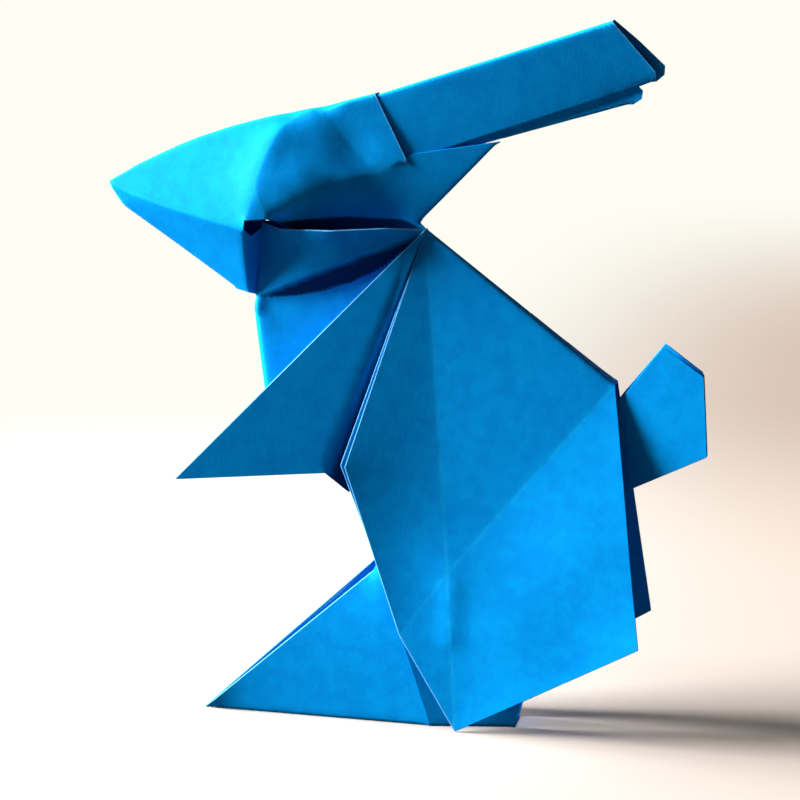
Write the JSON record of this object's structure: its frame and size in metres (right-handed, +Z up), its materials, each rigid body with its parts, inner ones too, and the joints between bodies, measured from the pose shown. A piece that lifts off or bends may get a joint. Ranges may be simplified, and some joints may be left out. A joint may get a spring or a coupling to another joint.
{
  "type": "origami rabbit",
  "caption": "Standing rabbit folded from one square sheet of blue paper, with long swept-back ears, paws, a pointed foot and a short tail.",
  "frame": {"origin": "centre of the bounding box in plan, on the surface the rabbit stands on", "axes": "+X towards the tail, nose at -X; +Y to the side away from the camera of the picture; +Z up; the rabbit's plane of symmetry is Y = 0"},
  "size_m": [0.0906, 0.0252, 0.105],
  "materials": {
    "blue_paper": "matte solid-blue craft paper, fine fibre grain, slightly paler along the creases"
  },
  "bodies": {
    "root": {"folded_sheet": "blue_paper"}
  },
  "joints": []
}
